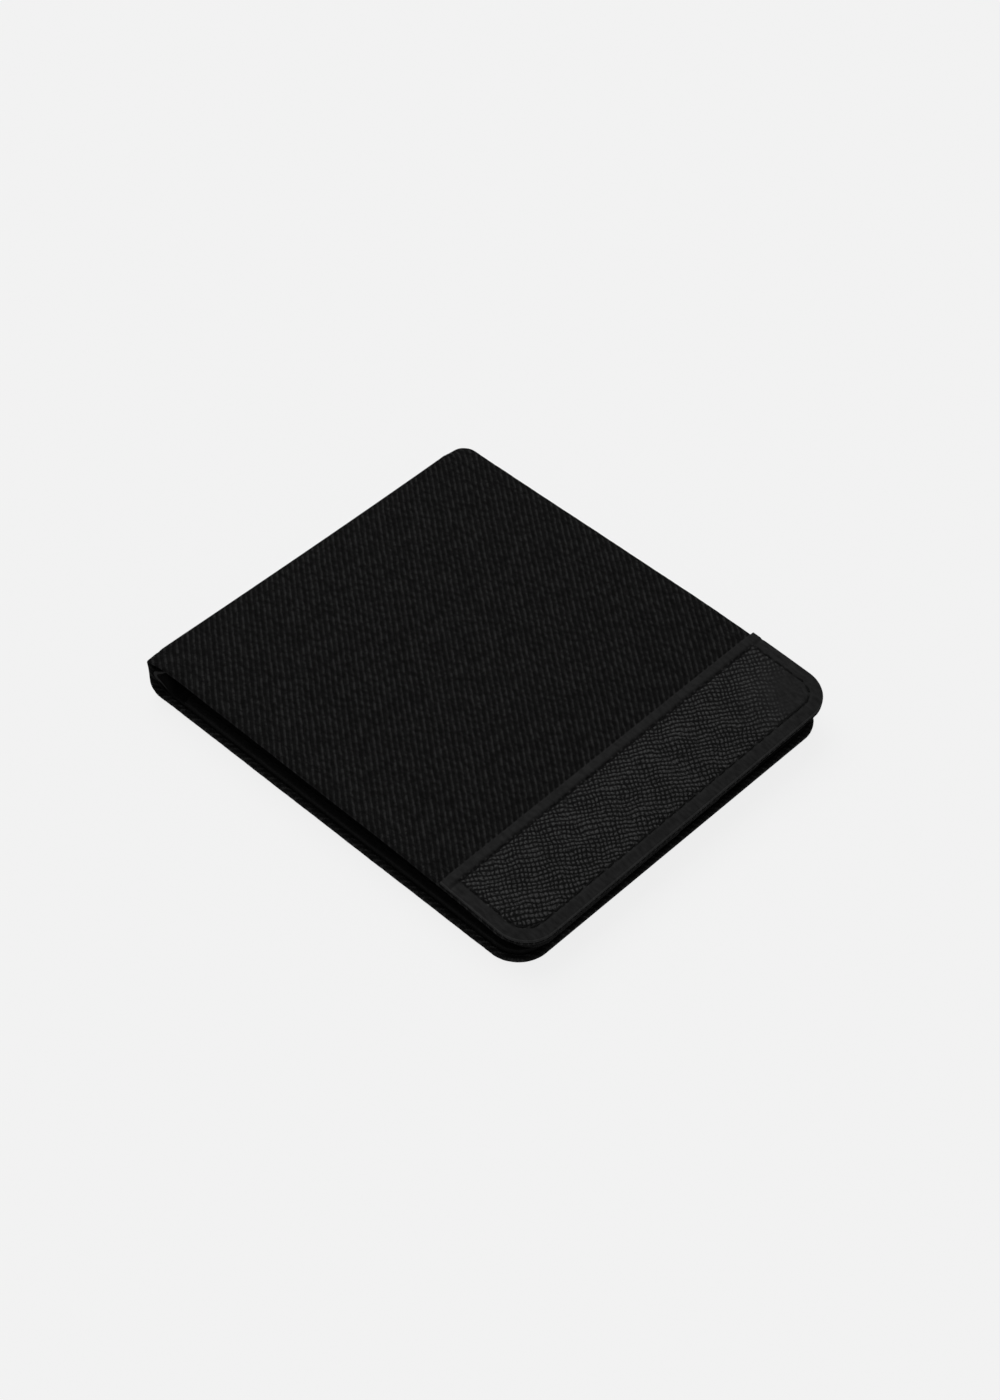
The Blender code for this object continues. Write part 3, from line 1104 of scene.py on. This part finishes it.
@dataclass
class CoverLining:
    """The lining behind the twill, sewn to it all round, with the stiffener board between them."""

    wallet: Wallet
    depths: Depths
    shell: OuterShell
    material: bpy.types.Material
    gap: float = 0.12 * MM

    def fold(self, side: Side) -> Fold:
        """The lining's way round the spine, inside the shell."""
        inner = self.shell.fold()
        under = self.wallet.twill + self.gap
        return Fold(
            inner.crest_x + under,
            inner.bottom_z + under,
            inner.top_z - under,
            inner.lower_bend - under,
            inner.upper_bend - under,
            inner.lean,
        )

    def build(self, side: Side) -> bpy.types.Object:
        """Makes one half of the lining."""
        w = self.wallet
        under = w.twill + self.gap
        thick = self.depths.field(side, "cover_lining")[1]
        fold = self.fold(side)
        cut = self.depths.outline(side, w.crest_x, w.top_y - self.depths.inset, w.corner - self.depths.inset)
        _, _, straight, radius, angle = fold.bend(side)
        bent = straight + radius * angle
        level = bent + graded(fold.length(side, cut.free_x) - bent, fine=0.15 * MM)
        bend = straight + np.linspace(0.0, radius * angle, 13)[:-1]
        distance = np.concatenate([np.linspace(0.0, straight, 4)[:-1], bend, level])
        run = fold.run(side, distance)
        x = run.x[:, None]
        y = cut.rows(run.x, cut.spread())
        edge = cut.inside(x, y, cut.corner)
        level_x = float(run.x[run.along.size - level.size])
        board_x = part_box(f"{side.value}_stiffener_board")[0].x
        past_fold = smooth((x - level_x + 0.4 * MM) / (board_x - level_x - 0.4 * MM))
        near = (self.depths.lies(side, "cover_lining", x, y, cut.top_y) - under) * past_fold
        half = thick * rounded(edge, 0.12 * MM) / 2.0
        middle = near + thick / 2.0
        near, far = middle - half, middle + half
        piece = layer_slab(f"{side.value}_lining", w, run, y, near, far, edge, self.material)
        bend_between(piece, fold, side, self.shell.bend_margin)
        spine_nodes = ("spine_lining",) if side is Side.BACK else ()
        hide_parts(f"{side.value}_cover_lining", *spine_nodes)
        cut.top_y - cut.bottom_y
        return report(piece, "lining")


@dataclass
class StiffenerBoard:
    """The board that keeps a cover flat, between the twill and the lining."""

    wallet: Wallet
    depths: Depths
    material: bpy.types.Material
    corner: float = 3.0 * MM
    rim: float = 0.1 * MM

    def build(self, side: Side) -> bpy.types.Object:
        """Makes one board, which rides on its half."""
        low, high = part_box(f"{side.value}_stiffener_board")
        near, thick = self.depths.board(side)
        cut = Cut(low.x, high.x, low.y, high.y, self.corner, self.corner)
        x = low.x + graded(high.x - low.x, fine=0.3 * MM, coarse=2.5 * MM)
        y = cut.rows(x, cut.spread(fine=0.3 * MM, coarse=2.5 * MM))
        edge = np.minimum(cut.inside(x[:, None], y, cut.corner), x[:, None] - low.x)
        middle = near + thick / 2.0
        half = thick * rounded(edge, self.rim, 0.8) / 2.0
        run = level_run(self.wallet, side, x)
        piece = layer_slab(
            f"{side.value}_board", self.wallet, run, y, middle - half, middle + half, edge, self.material
        )
        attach(piece, side.value)
        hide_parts(f"{side.value}_stiffener_board")
        return report(piece, "stiffener board")


@dataclass
class NoteWall:
    """The inner wall of the note compartment. It turns round the inside of the fold in a soft loop."""

    wallet: Wallet
    depths: Depths
    material: bpy.types.Material
    tip_out: float = 1.2 * MM
    tip_height: float = 5.6 * MM
    tip_bend: float = 1.25 * MM
    spread_reach: float = 4.6 * MM
    hem: float = 0.85 * MM
    hem_width: float = 2.2 * MM
    rim: float = 0.22 * MM
    # Reach of the painted light on the loop's ends near the fold.
    loop_light_reach: float = 1.4 * MM

    def fold(self) -> Fold:
        """The wall's way round the inside of the spine: a narrow half circle."""
        tip_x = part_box("spine_bridge")[0].x - self.tip_out
        low, high = self.tip_height - self.tip_bend, self.tip_height + self.tip_bend
        return Fold(tip_x, low, high, self.tip_bend * 0.999, self.tip_bend * 0.999)

    def build(self, side: Side) -> bpy.types.Object:
        """Makes one half of the wall.

        Past the tip it spreads from the narrow loop to the depth at which it lies in the half.
        It is thicker along its turned ends near the fold.

        Args:
            side: Its half.

        Returns:
            The piece.
        """
        w, fold = self.wallet, self.fold()
        thick = self.depths.field(side, "note_wall")[1]
        cut = self.depths.outline(side, w.crest_x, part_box(f"{side.value}_note_wall")[1].y, 1.0 * MM, 0.5 * MM)
        _, _, straight, radius, angle = fold.bend(side)
        bent = straight + radius * angle
        level = bent + graded(fold.length(side, cut.free_x) - bent, fine=0.25 * MM)
        distance = np.concatenate([np.linspace(0.0, bent, 17)[:-1], level])
        run = fold.run(side, distance)
        own = smooth((run.x - fold.crest_x - self.tip_bend * 0.4) / self.spread_reach)
        half_share = 1.0 if side is Side.FRONT else 0.0
        run = replace(run, front=run.front + (half_share - run.front) * own)
        x, loose = run.x[:, None], own[:, None]
        spread = cut.spread()
        y = cut.rows(run.x, spread)
        y = y - (self.depths.inset - 0.05 * MM) * (1.0 - loose) * (1.0 - spread[None, :])
        edge = cut.inside(x, y, cut.top_corner)
        lies_at = self.depths.lies(side, "note_wall", x, y)
        level_depth = w.top_z - fold.top_z if side is Side.FRONT else fold.bottom_z
        near = (lies_at - level_depth) * loose
        ends = np.minimum(spread, 1.0 - spread)[None, :] * (cut.top_y - cut.bottom_y)
        turned = self.hem * (1.0 - smooth((ends - self.hem_width) / (0.4 * MM))) * (1.0 - loose)
        half = (thick + turned) * rounded(np.minimum(edge, ends), self.rim, 0.3 + 0.5 * (1.0 - loose)) / 2.0
        middle = near + (thick + turned) / 2.0
        near, far = middle - half, middle + half
        piece = layer_slab(f"{side.value}_note_wall_leather", w, run, y, near, far, edge, self.material)
        # Painted light: the loop's ends near the fold are made paler, as if lit, where they lie in shade under
        # the cover.
        loop_light = (1.0 - loose) * np.exp(-((ends / self.loop_light_reach) ** 2))
        carry(piece, "loop_light", loop_light)
        bend_between(piece, fold, side, 0.6 * MM)
        spine_nodes = ("spine_bridge",) if side is Side.BACK else ()
        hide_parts(f"{side.value}_note_wall", *spine_nodes)
        cut.top_y - cut.bottom_y
        return report(piece, "note wall")


@dataclass
class PocketLayer:
    """A slip panel or a card slot: sewn at its bottom, free edge and fold side, open at its mouth."""

    wallet: Wallet
    depths: Depths
    material: bpy.types.Material
    name: str
    mouth_turn: float = 0.10 * MM
    mouth_width: float = 1.5 * MM
    mouth_sag: float = 0.5 * MM
    crease: float = 0.06 * MM
    crease_width: float = 0.3 * MM
    rim: float = 0.18 * MM

    def build(self, side: Side) -> bpy.types.Object:
        """Makes the layer for one half.

        Its mouth is thicker for the width of the turned edge, with a crease below that.

        Args:
            side: Its half.

        Returns:
            The piece.
        """
        w = self.wallet
        low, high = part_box(f"{side.value}_{self.name}")
        thick = self.depths.field(side, self.name)[1]
        cut = self.depths.outline(side, low.x, high.y, 0.8 * MM, self.mouth_sag)
        x = low.x + graded(cut.free_x - low.x)
        y = cut.rows(x, cut.spread())
        sewn = cut.inside(x[:, None], y, cut.corner, high=False)
        fold_side = (x - low.x)[:, None]
        near = self.depths.lies(side, self.name, x[:, None], y)
        mouth = cut.rows(x, np.array([1.0])) - y
        edge = np.minimum(np.minimum(sewn, fold_side), mouth)
        turned = self.mouth_turn * (1.0 - smooth((mouth - self.mouth_width) / (0.4 * MM)))
        past_turn = mouth - self.mouth_width - self.crease_width
        crease = self.crease * np.exp(-((past_turn / self.crease_width) ** 2))
        half = (thick + turned - crease) * rounded(edge, self.rim) / 2.0
        middle = near + (thick + turned) / 2.0
        run = level_run(w, side, x)
        near, far = middle - half, middle + half
        piece = layer_slab(f"{side.value}_{self.name}_leather", w, run, y, near, far, edge, self.material)
        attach(piece, side.value)
        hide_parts(f"{side.value}_{self.name}")
        return report(piece, "pocket layer")


@dataclass
class EndBand:
    """The leather band over the front cover's free edge, with a folded strip along its seam."""

    wallet: Wallet
    depths: Depths
    material: bpy.types.Material
    proud: float = 0.08 * MM
    strip: float = 2.6 * MM
    strip_lift: float = 0.14 * MM
    seam_dent: float = 0.26 * MM
    edge_dent: float = 0.14 * MM
    rim_press: float = 0.24 * MM
    lift: float = 0.03 * MM
    worn_in: float = 5.0 * MM
    worn_reach: float = 9.5 * MM

    def outline(self) -> Cut:
        """The band's outline, a hair outside the twill's."""
        low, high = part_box("front_end_band")
        grown = self.wallet.corner + self.proud
        return Cut(low.x, high.x + self.proud, low.y - self.proud, high.y + self.proud, grown, grown)

    def top(self, x: Array, edge: Array) -> Array:
        """Depth of the band's upper face, negative because it stands on the twill.

        It lies the band's thickness over the twill, raised over the folded strip, dented along the
        seam and along the edge stitches, and pressed down at the rim.
        """
        low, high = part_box("front_end_band")
        from_fold = x - low.x
        raised = self.strip_lift * (1.0 - smooth((from_fold - self.strip + 0.5 * MM) / (0.9 * MM)))
        seam = self.seam_dent * np.exp(-(((from_fold - self.strip) / (0.32 * MM)) ** 2))
        stitched = smooth((from_fold - self.strip - 1.0 * MM) / (1.0 * MM))
        dent = self.edge_dent * np.exp(-(((edge - self.wallet.stitch_in) / (0.4 * MM)) ** 2)) * stitched
        press = self.rim_press * (1.0 - smooth(edge / (3.4 * MM)))
        return press + dent + seam - raised - (high.z - self.wallet.top_z)

    def build(self) -> bpy.types.Object:
        """Makes the band, which rides on the front cover."""
        w, cut = self.wallet, self.outline()
        x = cut.start_x + graded(cut.free_x - cut.start_x, coarse=0.6 * MM)
        y = cut.rows(x, cut.spread(coarse=0.9 * MM))
        edge = cut.inside(x[:, None], y, cut.corner)
        from_fold = x[:, None] - cut.start_x
        top = self.top(x[:, None], edge)
        under = self.depths.face(np.clip(edge - self.proud, 0.0, None)) - self.lift
        rim = np.minimum(rounded(edge, 0.34 * MM, 0.25), rounded(from_fold, 0.34 * MM, 0.45))
        middle = (top + under) / 2.0
        half = (under - top) * rim / 2.0
        grained = np.minimum(edge, from_fold + w.stitch_in - self.strip)
        run = level_run(w, Side.FRONT, x)
        near, far = middle - half, middle + half
        piece = layer_slab("front_end_band_leather", w, run, y, near, far, grained, self.material)
        from_worn = np.hypot(x[:, None] - cut.free_x + self.worn_in, y - cut.top_y + self.worn_in)
        worn = np.exp(-((from_worn / self.worn_reach) ** 2))
        carry(piece, "worn", np.clip(worn * 1.3, 0.0, 0.95))
        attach(piece, "front")
        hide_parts("front_end_band")
        return report(piece, "end band")


@dataclass(frozen=True)
class StitchKind:
    """The size of a stitch and the room to the next one."""

    length: float = 2.1 * MM
    pitch: float = 3.0 * MM
    width: float = 0.5 * MM
    height: float = 0.26 * MM
    slant: float = math.radians(5.0)
    round_steps: int = 8
    long_steps: int = 7

    def template(self) -> tuple[Array, Array, Array]:
        """One stitch as a stretched ball along its first axis.

        A point at share s of the length and angle a round it is at (s, w sin a, h cos a), where w
        and h shrink to the ends as the fourth root of 1 - s^4.

        Returns:
            Its points, its faces and its flat coordinates.
        """
        share = np.sin(np.linspace(-math.pi / 2.0, math.pi / 2.0, self.long_steps))
        angle = np.linspace(0.0, 2.0 * math.pi, self.round_steps, endpoint=False)
        body = np.maximum(1.0 - share**4, 0.0015) ** 0.25
        along = np.repeat(share * self.length / 2.0, self.round_steps)
        side = np.outer(body, np.sin(angle)).ravel() * self.width / 2.0
        up = np.outer(body, np.cos(angle)).ravel() * self.height / 2.0
        index = np.arange(along.size).reshape(self.long_steps, self.round_steps)
        turned = np.roll(index, -1, axis=1)
        sides = np.stack([index[:-1], turned[:-1], turned[1:], index[1:]], axis=-1).reshape(-1, 4)
        half = self.round_steps // 2
        caps = []
        for ring, hand in ((index[0], -1), (index[-1], 1)):
            for step in range(1, half):
                quad = [ring[step - 1], ring[step], ring[-step - 1], ring[-step]]
                caps.append(quad[::hand])
        flat = np.stack([along, np.tile(angle / math.pi * 0.5, self.long_steps) * MM], axis=-1)
        return np.stack([along, side, up], axis=-1), np.concatenate([sides, np.array(caps)]), flat


@dataclass(frozen=True)
class StitchLine:
    """A row of stitches along a line on one half.

    Attributes:
        points: The line's points, x and y.
        depth: Depth of the face it is sewn on, as a function of x and y.
        outside: Whether that face looks outwards.
    """

    name: str
    side: Side
    points: Array
    depth: Callable[[Array, Array], Array]
    outside: bool
    nodes: tuple[str, ...] = ()
    kind: StitchKind = field(default_factory=StitchKind)
    sink: float = 0.02 * MM

    def build(self, wallet: Wallet, material: bpy.types.Material) -> bpy.types.Object:
        """Sets the stitches a pitch apart, each along the line where it lies.

        Args:
            wallet: The wallet that they hold together.
            material: The thread.

        Returns:
            The row, as one piece that rides on its half.
        """
        step = np.linalg.norm(np.diff(self.points, axis=0), axis=1)
        reach = np.concatenate([[0.0], np.cumsum(step)])
        count = max(1, int((reach[-1] - self.kind.length) / self.kind.pitch) + 1)
        first = (reach[-1] - (count - 1) * self.kind.pitch) / 2.0
        middle = first + np.arange(count) * self.kind.pitch

        def on_face(distance: Array) -> Array:
            x, y = (np.interp(distance, reach, self.points[:, k]) for k in range(2))
            run = level_run(wallet, self.side, x)
            return wallet.settle(x, y, run.z - run.out_z * self.depth(x, y), run.front)

        centre = on_face(middle)
        ahead = on_face(middle + 0.5 * MM) - on_face(middle - 0.5 * MM)
        ahead = ahead / np.linalg.norm(ahead, axis=1, keepdims=True)
        up_z = 1.0 if (self.side is Side.FRONT) == self.outside else -1.0
        across = np.cross(np.array([0.0, 0.0, up_z]), ahead)
        across = across / np.linalg.norm(across, axis=1, keepdims=True)
        up = np.cross(ahead, across)
        lean = ahead * math.cos(self.kind.slant) + across * math.sin(self.kind.slant)
        across = np.cross(up, lean)
        points, faces, flat = self.kind.template()
        placed = (
            centre[:, None]
            + points[None, :, :1] * lean[:, None]
            + points[None, :, 1:2] * across[:, None]
            + (points[None, :, 2:] - self.sink) * up[:, None]
        )
        all_faces = (faces[None] + (np.arange(count) * len(points))[:, None, None]).reshape(-1, 4)
        piece = mesh_piece(self.name, placed.reshape(-1, 3), all_faces, np.tile(flat, (count, 1)), material)
        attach(piece, self.side.value)
        if self.nodes:
            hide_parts(*self.nodes)
        return report(piece, f"{count} stitches")


def u_line(x0: float, x1: float, y0: float, y1: float, radius: float, top_corner: bool = True) -> Array:
    """A line from (x0, y0) to x1 and up to y1, and back to x0 if it has a top corner."""
    turn = np.linspace(-math.pi / 2.0, 0.0, 12)
    low = np.stack([x1 - radius + radius * np.cos(turn), y0 + radius + radius * np.sin(turn)], axis=-1)
    if not top_corner:
        return np.concatenate([[[x0, y0]], low, [[x1, y1]]])
    high = low[::-1] * [1.0, -1.0] + [0.0, y0 + y1]
    return np.concatenate([[[x0, y0]], low, high, [[x0, y1]]])


@dataclass
class Stitching:
    """All rows of stitches, outside and inside."""

    wallet: Wallet
    depths: Depths
    band: EndBand
    material: bpy.types.Material
    fold_gap: float = 6.0 * MM

    def face_depth(self, side: Side) -> Callable[[Array, Array], Array]:
        """Depth of a cover's outer face, for stitches on it."""
        cut = self.wallet.cover(side)
        return lambda x, y: self.depths.face(cut.inside(x, y, cut.corner))

    def band_depth(self, x: Array, y: Array) -> Array:
        """Depth of the band's upper face, for stitches on it."""
        cut = self.band.outline()
        return self.band.top(x, cut.inside(x, y, cut.corner))

    def pocket_depth(self, side: Side) -> Callable[[Array, Array], Array]:
        """Depth of the innermost layer that reaches a place, for stitches on the pockets."""
        depths = self.depths

        def depth(x: Array, y: Array) -> Array:
            found = np.zeros_like(x)
            for name in depths.order[1:]:
                low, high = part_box(f"{side.value}_{name}")
                inner = depths.lies(side, name, x, y) + depths.field(side, name)[1]
                found = np.where((x > low.x) & (y < high.y - 0.5 * MM), np.maximum(found, inner), found)
            return found

        return depth

    def rows(self) -> list[StitchLine]:
        """Every row, from the outside in."""
        w, inset = self.wallet, self.wallet.stitch_in
        start = w.crest_x + self.fold_gap
        low_y, high_y = w.bottom_y + inset, w.top_y - inset
        radius = w.corner - inset
        band_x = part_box("front_end_band")[0].x
        seam_x = band_x + self.band.strip
        band, front, back = self.band_depth, self.face_depth(Side.FRONT), self.face_depth(Side.BACK)
        edge = u_line(seam_x + 1.2 * MM, w.free_x - inset, low_y, high_y, radius)
        seam = np.array([[seam_x, low_y - 0.8 * MM], [seam_x, high_y + 0.8 * MM]])
        round_back = u_line(start, w.back_free_x - inset, low_y, high_y, radius)
        hem = StitchKind(length=2.0 * MM, width=0.34 * MM, height=0.16 * MM)
        found = [
            StitchLine("band_edge_stitches", Side.FRONT, edge, band, True, ("front_band_edge_thread",)),
            StitchLine("band_seam_stitches", Side.FRONT, seam, band, True, ("front_band_seam_thread",)),
            StitchLine("back_edge_stitches", Side.BACK, round_back, back, True, ("back_edge_thread",), hem),
        ]
        for name, y in (("bottom", low_y), ("top", high_y)):
            line = np.array([[start, y], [band_x - 0.6 * MM, y]])
            nodes = (f"front_{name}_hem_thread",)
            found.append(StitchLine(f"front_{name}_hem_stitches", Side.FRONT, line, front, True, nodes, hem))
        for side in Side:
            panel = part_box(f"{side.value}_slip_panel")
            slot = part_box(f"{side.value}_card_slot_top")
            depth, free_x, mouth_gap = self.pocket_depth(side), w.free_edge(side) - inset, 1.2 * MM
            rim = u_line(panel[0].x + 1.5 * MM, free_x, low_y, panel[1].y - mouth_gap, radius, False)
            found.append(StitchLine(f"{side.value}_pocket_rim_stitches", side, rim, depth, False))
            for name, box in (("panel", panel), ("slots", slot)):
                x = box[0].x + 1.4 * MM
                line = np.array([[x, low_y + 1.5 * MM], [x, box[1].y - mouth_gap]])
                found.append(StitchLine(f"{side.value}_{name}_side_stitches", side, line, depth, False))
        return found

    def build(self) -> list[bpy.types.Object]:
        """Makes every row."""
        return [row.build(self.wallet, self.material) for row in self.rows()]


# ---------------------------------------------------------------------------------------------
# The studio
# ---------------------------------------------------------------------------------------------


@dataclass
class Studio:
    """Camera, floor and light."""

    azimuth: float = math.radians(44.349)
    elevation: float = math.radians(47.439)
    distance: float = 0.57588
    target: tuple[float, float, float] = (0.000532, 0.002087, 0.0)
    lens: float = 70.143
    ambient: float = 0.25
    sun: float = 1.2
    sun_height: float = math.radians(52)
    floor_grey: float = 0.887

    def camera(self) -> bpy.types.Object:
        """Makes the camera, which looks at the target from its azimuth and elevation."""
        camera = bpy.data.objects.new("camera", bpy.data.cameras.new("camera"))
        bpy.context.scene.collection.objects.link(camera)
        level = math.cos(self.elevation)
        height = math.sin(self.elevation)
        back = Vector((math.sin(self.azimuth) * level, -math.cos(self.azimuth) * level, height))
        camera.location = Vector(self.target) + back * self.distance
        camera.rotation_euler = (-back).to_track_quat("-Z", "Y").to_euler()
        camera.data.lens = self.lens
        camera.data.clip_start = 0.01
        camera.data.clip_end = 200.0
        bpy.context.scene.camera = camera
        return camera

    def floor(self) -> bpy.types.Object:
        """Makes the pale floor, which glows a little so that it stays even and its shadows stay faint."""
        size, drop = 60.0, 0.1 * MM
        mesh = bpy.data.meshes.new("floor")
        corners = [(-size, -size, -drop), (size, -size, -drop), (size, size, -drop), (-size, size, -drop)]
        mesh.from_pydata(corners, [], [(0, 1, 2, 3)])
        floor = bpy.data.objects.new("floor", mesh)
        bpy.context.scene.collection.objects.link(floor)
        graph = Graph("pale_floor")
        reflected = 0.11
        lit = reflected * (self.ambient + self.sun * math.sin(self.sun_height) / math.pi)
        mesh.materials.append(
            graph.dress(
                Base_Color=(reflected,) * 3 + (1.0,),
                Roughness=1.0,
                Specular_IOR_Level=0.0,
                Emission_Color=(1.0, 1.0, 1.0, 1.0),
                Emission_Strength=self.floor_grey - lit,
            )
        )
        floor.visible_glossy = False
        return floor

    def light(self) -> None:
        """Makes an even surround and one broad, soft light from the fold's side."""
        world = bpy.data.worlds.new("surround")
        world.use_nodes = True
        background = world.node_tree.nodes["Background"]
        background.inputs["Color"].default_value = (1.0, 1.0, 1.0, 1.0)
        background.inputs["Strength"].default_value = self.ambient
        bpy.context.scene.world = world
        lamp = bpy.data.lights.new("soft_sun", "SUN")
        lamp.energy = self.sun
        lamp.angle = math.radians(50)
        sun = bpy.data.objects.new("soft_sun", lamp)
        toward = Vector((-0.86, 0.30, 0.0)).normalized() * math.cos(self.sun_height)
        toward.z = math.sin(self.sun_height)
        sun.rotation_euler = toward.to_track_quat("Z", "Y").to_euler()
        bpy.context.scene.collection.objects.link(sun)

    def build(self) -> None:
        """Sets up the whole studio."""
        self.camera()
        self.floor()
        self.light()
        bpy.context.scene.view_settings.view_transform = "Standard"


def main() -> None:
    """Builds the wallet from the outside in, then the studio."""
    logging.basicConfig(level=logging.INFO, format="%(message)s")
    finishes = Finishes.make()
    wallet = Wallet()
    depths = Depths(wallet)
    shell = OuterShell(wallet, depths, finishes.twill)
    lining = CoverLining(wallet, depths, shell, finishes.lining)
    board = StiffenerBoard(wallet, depths, finishes.board)
    note_wall = NoteWall(wallet, depths, finishes.pocket)
    pockets = [PocketLayer(wallet, depths, finishes.pocket, name) for name in depths.order[2:]]
    for side in Side:
        for part in (shell, lining, board, note_wall, *pockets):
            part.build(side)
    band = EndBand(wallet, depths, finishes.band)
    band.build()
    Stitching(wallet, depths, band, finishes.thread).build()
    Studio().build()


if __name__ == "__main__":
    main()
